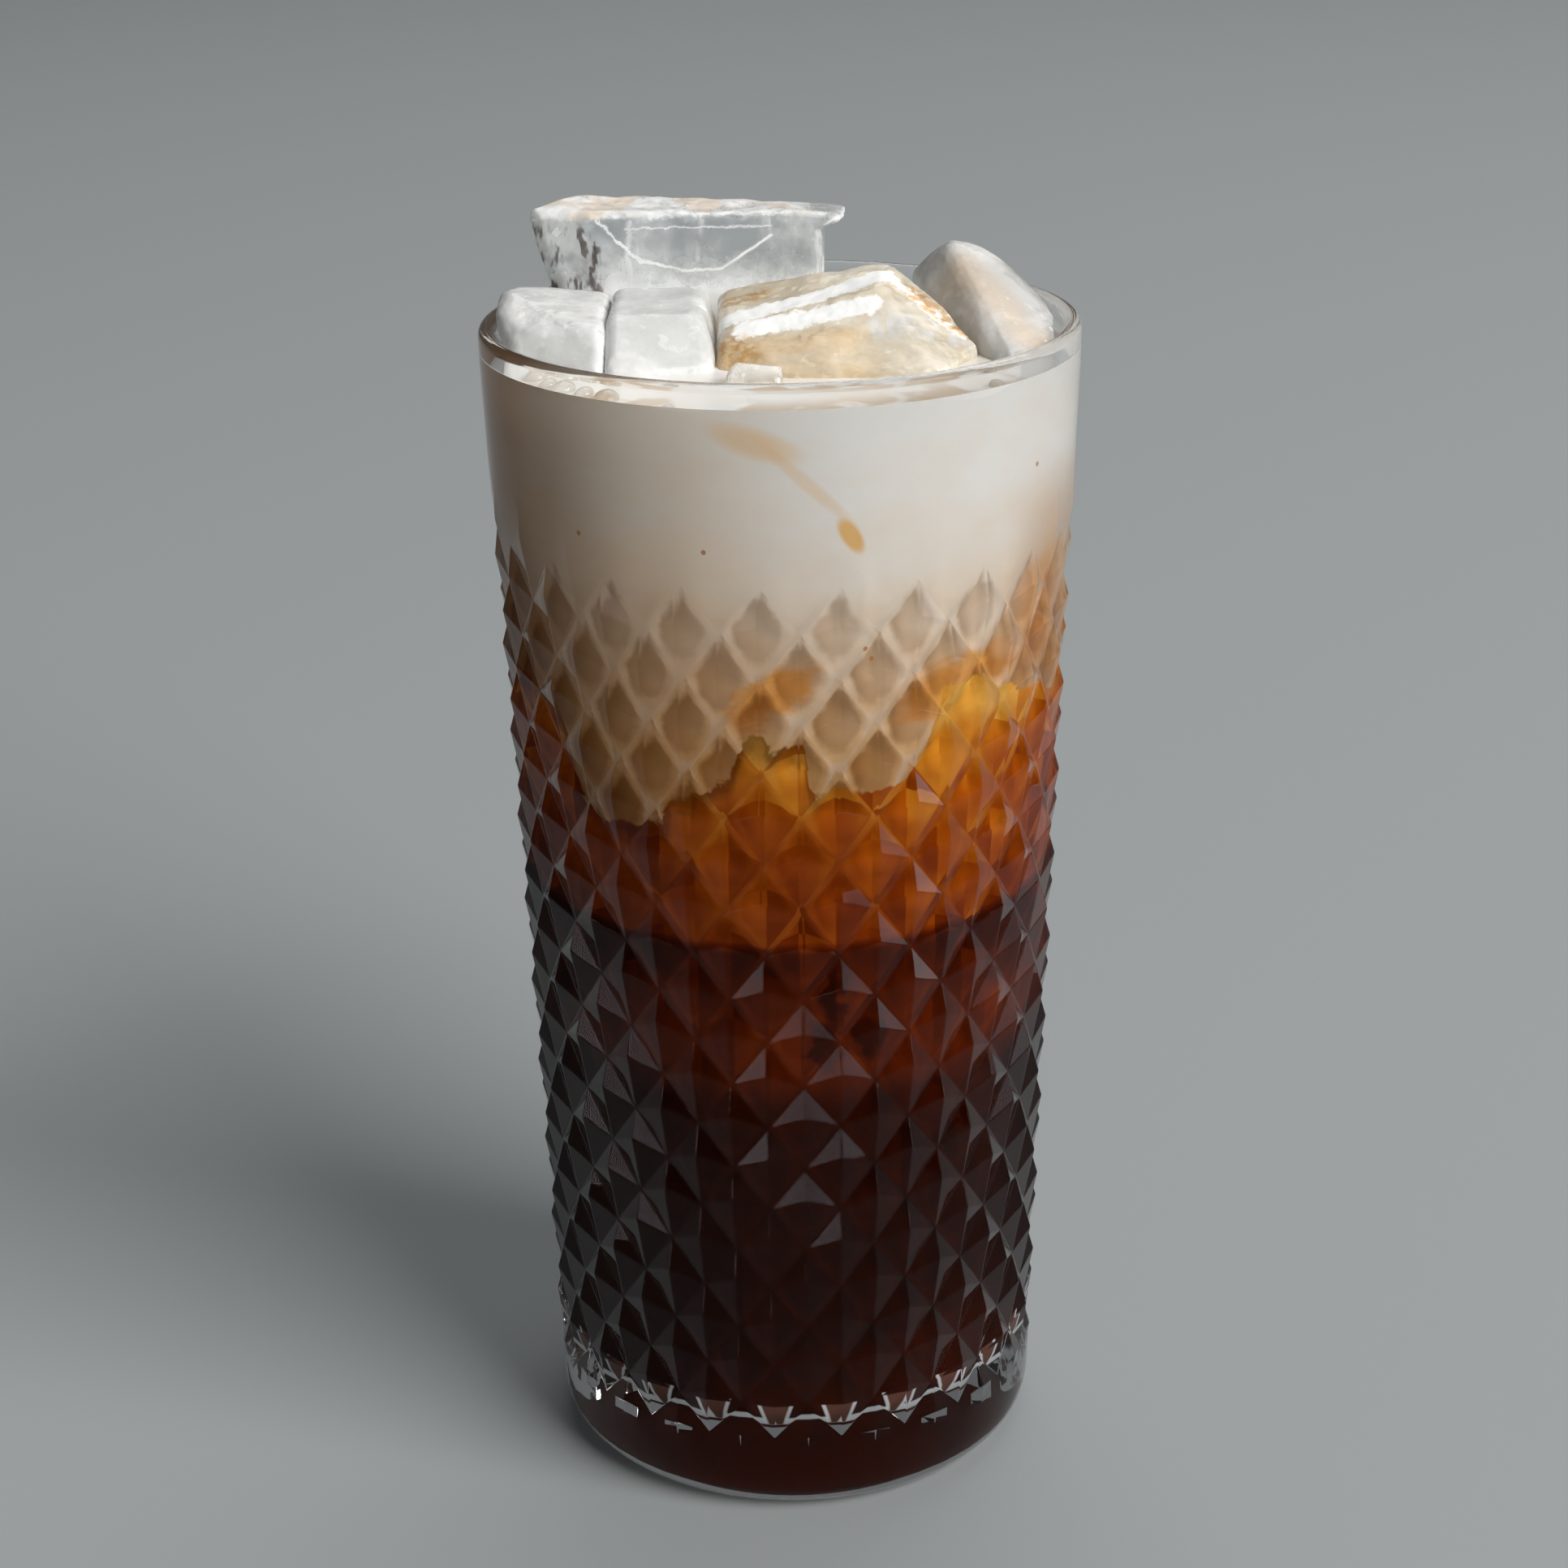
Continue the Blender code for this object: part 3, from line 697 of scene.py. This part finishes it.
def cream_colour(look, here, field, gleam):
    """White at the top and more and more stained with tea downwards; browner at the sides, with painted
    shade on the left side and in the relief's fields, and a painted gleam between the fields.
    """
    stain = look.curve(here.share, [(h * MM / RIM_HEIGHT, v) for h, v in CREAM_STAIN])
    left, far_left = side_share(look, here, LEFT_SIDE), side_share(look, here, FAR_LEFT_SIDE)
    # The left sides' share of stain here is painted shade
    for addition, weight in ((left, 0.1), (far_left, 0.1), (here.streaks, 0.3)):
        stain = look.sum("ADD", stain, look.sum("MULTIPLY", addition, weight))
    cream = look.ramp(stain, *CREAM_COLOURS, smooth=False)
    # Painted highlight between the relief's fields
    cream = look.mix(look.sum("MULTIPLY", gleam, 0.3), cream, GLEAM_PAINTED_HIGHLIGHT)
    warm, right = side_share(look, here, WARM_SIDE), side_share(look, here, RIGHT_SIDE)
    right = look.sum("MULTIPLY", right, look.band(here.height, 138 * MM, 126 * MM))
    right = look.sum("MULTIPLY", right, 0.8)
    deeper = look.sum("ADD", look.sum("MULTIPLY", look.band(here.height, 119 * MM, 110 * MM), 0.25), 0.75)
    # Painted shade on the left sides and in the relief's fields; the warm and right sides are only tinted
    tints = ((warm, WARM_TINT), (left, LEFT_PAINTED_SHADE), (far_left, FAR_LEFT_PAINTED_SHADE), (right, RIGHT_TINT),
             (look.sum("MULTIPLY", field, deeper), FIELD_PAINTED_SHADE))
    for share, tint in tints:
        cream = look.mix(share, cream, tint, "MULTIPLY")
    # Amber tea patches, and one painted orange reflection at the far left
    for centre, half_size, slant, soft, weight in TEA_AND_REFLECTION_PATCHES:
        patch = look.spot(here.torn_degrees, here.torn_height, centre, half_size, slant, soft)
        cream = look.mix(look.sum("MULTIPLY", patch, weight), cream, TEA_AND_REFLECTION_TINT, "MULTIPLY")
    for centre, half_size, slant, soft, weight in DRIPS:
        patch = look.spot(here.degrees, here.height, centre, half_size, slant, soft)
        cream = look.mix(look.sum("MULTIPLY", patch, weight), cream, DRIP_COLOUR)
    for centre in SPECKS:
        speck = look.spot(here.degrees, here.height, centre, SPECK_SIZE)
        cream = look.mix(look.sum("MULTIPLY", speck, 0.8), cream, SPECK_COLOUR)
    return cream


def drink_material():
    """Tea and cream as they show at the wall, painted light and shade included, worked out from angle and
    height.
    """
    look = Nodes("drink")
    here = wall_place(look)
    places = [((a + 180) / 360, (h - OUTLINE_LOW) / OUTLINE_SPAN) for a, h in EDGE_OUTLINE]
    outline = look.sum("MULTIPLY", look.curve(here.turn, places), OUTLINE_SPAN * MM)
    edge = look.sum("SUBTRACT", here.height, look.sum("ADD", outline, OUTLINE_LOW * MM))
    edge = look.sum("ADD", edge, look.sum("MULTIPLY", here.fine, 4.0 * MM))
    edge = look.sum("ADD", edge, look.sum("MULTIPLY", here.streaks, 2.5 * MM))
    field, gleam = relief_shade_and_gleam(look, here)
    tea = tea_colour(look, here, field, edge)
    cream = cream_colour(look, here, field, gleam)
    colour = look.mix(look.band(edge, -0.25 * MM, 0.35 * MM), tea, cream)
    look.set(Base_Color=colour, Roughness=0.5, Specular_IOR_Level=0.0)
    return look.material


def cream_top_material():
    """The cream's upper face: glossy, swirled, and tan in patches beside the front wall."""
    look = Nodes("cream_top")
    where = look.place()
    swirl = look.noise(where, 70.0, 5.0, 0.6)
    colour = look.ramp(swirl, *CREAM_TOP_COLOURS)
    x, y, _ = look.add("SeparateXYZ", {0: where}).outputs
    radius = look.sum("SQRT", look.sum("ADD", look.sum("MULTIPLY", x, x), look.sum("MULTIPLY", y, y)))
    near_wall = look.sum("MULTIPLY", look.band(radius, 24 * MM, 30 * MM), look.band(y, -8 * MM, -22 * MM))
    tan = look.sum("MULTIPLY", near_wall, look.band(look.noise(where, 125.0, 2.0), 0.47, 0.56))
    colour = look.mix(look.sum("MULTIPLY", tan, 0.85), colour, CREAM_TOP_TAN)
    look.set(Base_Color=colour, Roughness=0.22, Specular_IOR_Level=0.5)
    look.bump(look.noise(where, 160.0, 2.0), 0.25 * MM, 0.5)
    return look.material


def cream_edge(angle):
    """Height at the wall of the boundary between cream and tea, at an angle from the front."""
    height = CREAM_EDGE
    for centre, drop, half_width in TONGUES:
        turn = (math.degrees(angle) - centre + 180) % 360 - 180
        height -= drop * math.exp(-((turn / half_width) ** 2))
    return height


def wave_boundary(thing):
    """Wave the flat end where cream and tea meet: one level at the axis, tongues at the wall."""
    for point in thing.data.vertices:
        if abs(point.co.z - CREAM_MIDDLE) < 0.01 * MM:
            share = min(1.0, point.co.xy.length / inner_radius(CREAM_EDGE)) ** 2
            edge = cream_edge(math.atan2(point.co.x, -point.co.y))
            point.co.z = CREAM_MIDDLE + (edge - CREAM_MIDDLE) * share
            if share > 0.98:
                point.co.xy *= (inner_radius(point.co.z) + INTO_WALL) / point.co.xy.length


def boundary_rings():
    """Rings on the waved end, from the axis to the wall."""
    wall = inner_radius(CREAM_MIDDLE) + INTO_WALL
    radii = [CORE_RADIUS] + [wall * share for share in RING_SHARES] + [wall]
    return [(radius, CREAM_MIDDLE) for radius in radii]


def wall_rings(heights):
    """Rings that reach just into the glass's wall, so that no air gap shows."""
    return [(inner_radius(height) + INTO_WALL, height) for height in heights]


def make_tea(material):
    """The dark drink, from the waved boundary down the wall and over the rounded floor."""
    floor = FLOOR_HEIGHT - INTO_WALL
    centre = floor_fillet_centre()
    profile = boundary_rings() + wall_rings(TEA_STEPS)
    profile += arc(centre, FLOOR_FILLET + INTO_WALL, 0, -90, 4)
    profile += [(centre[0] * FLAT_SHARE, floor), (CORE_RADIUS, floor)]
    thing = turned("tea_body", profile, SIDES * 2)
    wave_boundary(thing)
    pick(thing)
    bpy.ops.object.shade_smooth_by_angle(angle=math.radians(CREASE_ANGLE))
    dress(thing, material, "tea", "tea")


def meniscus_rings():
    """Rings of the cream's upper face where it climbs the wall."""
    wall_top = LEVEL + MENISCUS
    rings = []
    for index in range(MENISCUS_STEPS):
        share = index / MENISCUS_STEPS
        radius = inner_radius(wall_top) - MENISCUS_WIDTH * (1 - share)
        rings.append((radius, LEVEL + MENISCUS * share ** MENISCUS_CURVE))
    return rings + wall_rings([wall_top])


def make_cream(wall_material, top_material):
    """The cream, from its upper face and meniscus down the wall to the waved boundary."""
    profile = [(CORE_RADIUS, LEVEL), (0.5 * inner_radius(LEVEL), LEVEL)] + meniscus_rings()
    profile += wall_rings((BAND_MIDDLE, BAND_START, TIP_HEIGHT - ROW_PITCH))
    profile += list(reversed(boundary_rings()))
    thing = turned("cream_body", profile, SIDES * 2)
    wave_boundary(thing)
    dress(thing, wall_material, "cream", "cream")
    thing.data.materials.append(top_material)
    for face in thing.data.polygons:
        if face.center.z > LEVEL - 0.1 * MM and face.normal.z > 0.2:
            face.material_index = 1
    pick(thing)
    bpy.ops.object.shade_smooth_by_angle(angle=math.radians(CREASE_ANGLE))


def worn_copy(node, name, grain, dents, pits, swell=0.0):
    """A copy of a block of ice, melted: remeshed finely, dented at two scales, swollen and smoothed."""
    thing = bpy.data.objects.new(name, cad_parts[node].data.copy())
    bpy.context.scene.collection.objects.link(thing)
    pick(thing)
    bpy.ops.object.mode_set(mode="EDIT")
    bpy.ops.mesh.select_all(action="SELECT")
    bpy.ops.mesh.remove_doubles(threshold=0.01 * MM)
    bpy.ops.object.mode_set(mode="OBJECT")
    apply_modifier(thing, "REMESH", mode="VOXEL", voxel_size=grain)
    for size, depth, level in ((DENT_SIZE, dents, 0.5 - swell), (PIT_SIZE, pits, 0.5)):
        texture = bpy.data.textures.new(name + "_dents", "CLOUDS")
        texture.noise_scale = size
        apply_modifier(thing, "DISPLACE", texture=texture, strength=depth, mid_level=level,
                       texture_coords="LOCAL")
    apply_modifier(thing, "SMOOTH", factor=0.5, iterations=2)
    bpy.ops.object.shade_smooth()
    return thing


def pull_lip(thing):
    """Draw the slab's upper right corner out to a thin lip."""
    pick(thing)
    bpy.ops.object.mode_set(mode="EDIT")
    select_points(thing, lambda co: co.x > LIP_CORNER[0] and co.z > LIP_CORNER[1])
    bpy.ops.transform.translate(value=LIP_PULL, use_proportional_edit=True,
                                proportional_edit_falloff="SMOOTH", proportional_size=LIP_REACH)
    bpy.ops.object.mode_set(mode="OBJECT")


def near_line(look, across, up, places, half_width, soft=0.4):
    """1 near the line through these places in millimetres, 0 away from it."""
    nearest = 1.0
    for start, end in zip(places, places[1:]):
        run, rise = end[0] - start[0], end[1] - start[1]
        length = (run * run + rise * rise) * MM
        from_start = look.sum("SUBTRACT", across, start[0] * MM)
        above_start = look.sum("SUBTRACT", up, start[1] * MM)
        along = look.sum("ADD", look.sum("MULTIPLY", from_start, run / length),
                         look.sum("MULTIPLY", above_start, rise / length))
        along = look.sum("MINIMUM", look.sum("MAXIMUM", along, 0.0), 1.0)
        beside = look.sum("SUBTRACT", from_start, look.sum("MULTIPLY", along, run * MM))
        above = look.sum("SUBTRACT", above_start, look.sum("MULTIPLY", along, rise * MM))
        gap = look.sum("SQRT", look.sum("ADD", look.sum("MULTIPLY", beside, beside),
                                        look.sum("MULTIPLY", above, above)))
        nearest = look.sum("MINIMUM", nearest, gap)
    return look.band(nearest, half_width * (1 + soft), half_width * (1 - soft))


def slab_marks(look, here):
    """The slab's cracks, frosted top and milky foot, and at its left end painted dark bends where it
    refracts.
    """
    front = look.band(here.y, 17.5 * MM, 15.5 * MM)
    across, up = here.loose(here.x, 1.1 * MM), here.loose(here.z, 1.1 * MM)
    crack = look.sum("MULTIPLY", near_line(look, across, up, SLAB_CRACK, 0.17 * MM, 0.9), front)
    straight = near_line(look, here.x, up, SLAB_LINE, 0.12 * MM, 0.9)
    flaw = near_line(look, across, up, SLAB_FLAWS, 0.3 * MM, 0.9)
    top = look.sum("MULTIPLY", look.band(here.loose(here.z, 0.9 * MM), 159.2 * MM, 160.0 * MM),
                   look.band(here.x, 5 * MM, 3 * MM))
    top = look.sum("MULTIPLY", top, look.sum("ADD", look.sum("MULTIPLY", here.ragged, 1.5), 0.6))
    foot = look.sum("MULTIPLY", look.band(here.loose(here.z, 5 * MM), 154.5 * MM, 149 * MM), 0.6)
    frost = top
    for mark in (look.sum("MULTIPLY", crack, 0.75), look.sum("MULTIPLY", straight, 0.5),
                 look.sum("MULTIPLY", flaw, 0.35), foot):
        frost = look.sum("MAXIMUM", frost, mark)
    tan = look.sum("MULTIPLY", look.band(look.noise(here.point, 170.0, 2.0), 0.46, 0.6), 0.8)
    # Painted dark refraction at the slab's left end
    bends = look.noise(look.place((1, 1, 0.35)), 420.0, 3.0, 0.6)
    dark = look.sum("MULTIPLY", look.band(here.x, -20.5 * MM, -23 * MM), look.band(bends, 0.54, 0.6))
    dark = look.sum("MULTIPLY", dark, look.band(here.z, 159.2 * MM, 158 * MM))
    return frost, ((look.sum("MULTIPLY", tan, top), STAIN_COLOUR), (dark, PAINTED_REFRACTION_DARK))


def block_marks(look, here):
    """The middle block's feathery strips and frosted ridge, amber front, glassy right end and speckles."""
    across, up = here.loose(here.x, 1.6 * MM), here.loose(here.y, 2.9 * MM)
    frost = near_line(look, across, up, BLOCK_FROST_BACK, 1.75 * MM, 0.15)
    for places, half_width in ((BLOCK_FROST_FRONT, 1.75 * MM), (BLOCK_RIDGE, 0.7 * MM)):
        frost = look.sum("MAXIMUM", frost, near_line(look, across, up, places, half_width, 0.2))
    amber = look.sum("MULTIPLY", look.band(here.loose(here.y, 4 * MM), -4.8 * MM, -7 * MM),
                     look.band(here.x, 15 * MM, 8 * MM))
    swirls = look.band(look.noise(look.place((0.6, 1, 1.6)), 150.0, 4.0), 0.38, 0.6)
    amber = look.sum("MULTIPLY", amber, look.sum("ADD", look.sum("MULTIPLY", swirls, 0.45), 0.4))
    grains = look.sum("MULTIPLY", look.band(here.ragged, -0.1, 0.04), 0.85)
    glassy = near_line(look, here.x, here.loose(here.y, 3 * MM), BLOCK_PALE, 2.4 * MM, 0.6)
    ribs = look.band(look.noise(look.place((2.2, 0.5, 0.5)), 300.0, 2.0), 0.46, 0.56)
    glassy = look.sum("MULTIPLY", look.sum("MULTIPLY", glassy, ribs), 0.85)
    marks = [(amber, AMBER_COLOUR), (glassy, GLASSY_COLOUR)]
    for places in BLOCK_SPECKLES:
        speckles = near_line(look, across, up, places, 1.7 * MM, 0.5)
        marks.append((look.sum("MULTIPLY", speckles, grains), SPECKLE_COLOUR))
    return frost, marks


def peak_marks(look, here):
    """Two soft tan blushes on the peaked piece."""
    across, up = here.loose(here.x, 2 * MM), here.loose(here.y, 2 * MM)
    marks = []
    for places in PEAK_BLUSHES:
        blush = near_line(look, across, up, places, 2.2 * MM, 0.8)
        marks.append((look.sum("MULTIPLY", blush, 0.6), BLUSH_COLOUR))
    return 0.0, marks


def ice_material(name, marks_of=None):
    """Ice with clouds, upright streaks, edges whitened by a painted sheen, and its piece's own marks."""
    clearness, tint, cloud_colour = ICE_FINISHES[name]
    look = Nodes(name)
    here = SimpleNamespace(point=look.place())
    here.x, here.y, here.z = look.add("SeparateXYZ", {0: here.point}).outputs
    here.ragged = look.sum("SUBTRACT", look.noise(here.point, 800.0, 4.0, 0.65), 0.5)
    here.loose = lambda value, reach: look.sum("ADD", value, look.sum("MULTIPLY", here.ragged, reach))
    clouds = look.band(look.noise(here.point, 95.0, 4.0, 0.6), 0.42, 0.68)
    streaks = look.band(look.noise(look.place((1.6, 1.6, 0.25)), 330.0, 3.0), 0.58, 0.7)
    # Painted sheen: sharp edges whitened
    edges = look.band(look.add("NewGeometry").outputs["Pointiness"], 0.505, 0.54)
    frost_and_sheen = look.sum("MULTIPLY", look.sum("MAXIMUM", edges, look.sum("MULTIPLY", streaks, 0.5)), 0.55)
    colour = look.mix(clouds, tint, cloud_colour)
    marks = ()
    if marks_of:
        frost, marks = marks_of(look, here)
        frost_and_sheen = look.sum("MAXIMUM", frost_and_sheen, frost)
    colour = look.mix(frost_and_sheen, colour, FROST_AND_SHEEN_COLOUR)
    for mark, mark_colour in marks:
        colour = look.mix(mark, colour, mark_colour)
    cloudy = look.sum("SUBTRACT", clearness, look.sum("MULTIPLY", clouds, 0.4 * clearness))
    through = look.sum("MULTIPLY", cloudy, look.sum("SUBTRACT", 1.0, frost_and_sheen))
    roughness = look.sum("ADD", look.sum("MULTIPLY", clouds, 0.2), look.sum("MULTIPLY", frost_and_sheen, 0.5))
    look.set(Base_Color=colour, IOR=1.31, Transmission_Weight=through,
             Roughness=look.sum("ADD", roughness, 0.03))
    look.bump(look.noise(here.point, 380.0, 3.0), 0.3 * MM, 0.5)
    return look.material


def make_ice():
    """The six pieces of ice that stand in the cream, each worn and dressed in its own finish."""
    marks = {"slab_ice": slab_marks, "block_ice": block_marks, "peak_ice": peak_marks}
    finishes = {name: ice_material(name, marks.get(name)) for name in ICE_FINISHES}
    for node, name, finish, wear in ICE_PIECES:
        thing = worn_copy(node, name, *wear)
        if name == "slab":
            pull_lip(thing)
        dress(thing, finishes[finish], "ice", node)


def bubble_material():
    """A thin film of milky foam, thicker in places."""
    look = Nodes("foam_bubble")
    thickness = look.noise(look.place(), 900.0, 2.0)
    colour = look.ramp(thickness, (0.35, (0.98, 0.96, 0.93)), (0.65, (0.9, 0.84, 0.76)))
    look.set(Base_Color=colour, Roughness=0.05, IOR=1.33, Transmission_Weight=0.85)
    return look.material


def make_bubbles(material):
    """Domes of foam on the cream beside the wall: one is modelled, the others are copies of it."""
    deselect()
    bpy.ops.mesh.primitive_uv_sphere_add(segments=24, ring_count=14, radius=BUBBLE_RADIUS)
    pattern = bpy.context.object
    bpy.ops.object.mode_set(mode="EDIT")
    bpy.ops.mesh.select_all(action="SELECT")
    bpy.ops.mesh.bisect(plane_co=(0, 0, -BUBBLE_SUNK * BUBBLE_RADIUS), plane_no=(0, 0, 1), use_fill=True,
                        clear_inner=True)
    bpy.ops.mesh.select_all(action="SELECT")
    bpy.ops.transform.resize(value=(1, 1, BUBBLE_FLATNESS), center_override=(0, 0, 0))
    bpy.ops.object.mode_set(mode="OBJECT")
    bpy.ops.object.shade_smooth_by_angle(angle=math.radians(50))
    for number, (x, y, size) in enumerate(BUBBLES):
        thing = bpy.data.objects.new("bubble_%d" % number, pattern.data.copy())
        bpy.context.scene.collection.objects.link(thing)
        thing.data.transform(Matrix.Translation((x * MM, y * MM, LEVEL)) @ Matrix.Scale(size, 4))
        dress(thing, material, "cream")
    bpy.data.objects.remove(pattern)


def make_stage():
    """A plain pale floor under an even grey studio."""
    deselect()
    bpy.ops.mesh.primitive_plane_add(size=FLOOR_SIZE)
    floor = bpy.context.object
    floor.name = "floor"
    look = Nodes("pale_floor")
    look.set(Base_Color=FLOOR_COLOUR, Roughness=0.8, Specular_IOR_Level=0.2)
    floor.data.materials.append(look.material)
    world = bpy.data.worlds.new("studio")
    world.use_nodes = True
    world.node_tree.nodes["Background"].inputs[0].default_value = STUDIO_COLOUR
    world.node_tree.nodes["Background"].inputs[1].default_value = STUDIO_STRENGTH
    bpy.context.scene.world = world


def soft_light(name, azimuth, elevation, distance, size, power, colour):
    """A soft box that looks at the glass's middle."""
    turn, lift = math.radians(azimuth), math.radians(elevation)
    target = Vector(LIGHT_TARGET)
    away = Vector((math.sin(turn) * math.cos(lift), -math.cos(turn) * math.cos(lift), math.sin(lift)))
    lamp = bpy.data.lights.new(name, "AREA")
    lamp.shape = "RECTANGLE"
    lamp.size, lamp.size_y = size
    lamp.energy = power
    lamp.color = colour
    holder = bpy.data.objects.new(name, lamp)
    bpy.context.scene.collection.objects.link(holder)
    holder.location = target + away * distance
    holder.rotation_euler = (-away).to_track_quat("-Z", "Y").to_euler()
    return holder


def make_lights():
    """Two big soft lights, and the low boxes, which light neither the floor nor the drink."""
    for name, settings in BIG_LIGHTS.items():
        soft_light(name, *settings)
    for name, settings in GLINT_BOXES.items():
        box = soft_light(name, *settings)
        box.visible_diffuse = False
        box.visible_transmission = False


def make_camera():
    """The photograph's view, fitted to the glass's rim, foot and diamond rows."""
    camera = bpy.data.cameras.new("camera")
    camera.sensor_width = SENSOR_WIDTH
    camera.lens = FOCAL_PIXELS / PICTURE_WIDTH * SENSOR_WIDTH
    camera.shift_x = SHIFT_PIXELS / PICTURE_WIDTH
    camera.clip_start = 0.01
    holder = bpy.data.objects.new("camera", camera)
    bpy.context.scene.collection.objects.link(holder)
    pitch = Matrix.Rotation(math.radians(CAMERA_PITCH), 4, "X")
    roll = Matrix.Rotation(math.radians(CAMERA_ROLL), 4, "Z")
    holder.matrix_world = Matrix.Translation(CAMERA_PLACE) @ pitch @ roll
    bpy.context.scene.camera = holder


make_camera()
make_stage()
make_lights()
make_tumbler(glass_material())
drink = drink_material()
make_tea(drink)
make_cream(drink, cream_top_material())
make_ice()
make_bubbles(bubble_material())
bpy.context.scene.view_settings.view_transform = "Standard"

deselect()
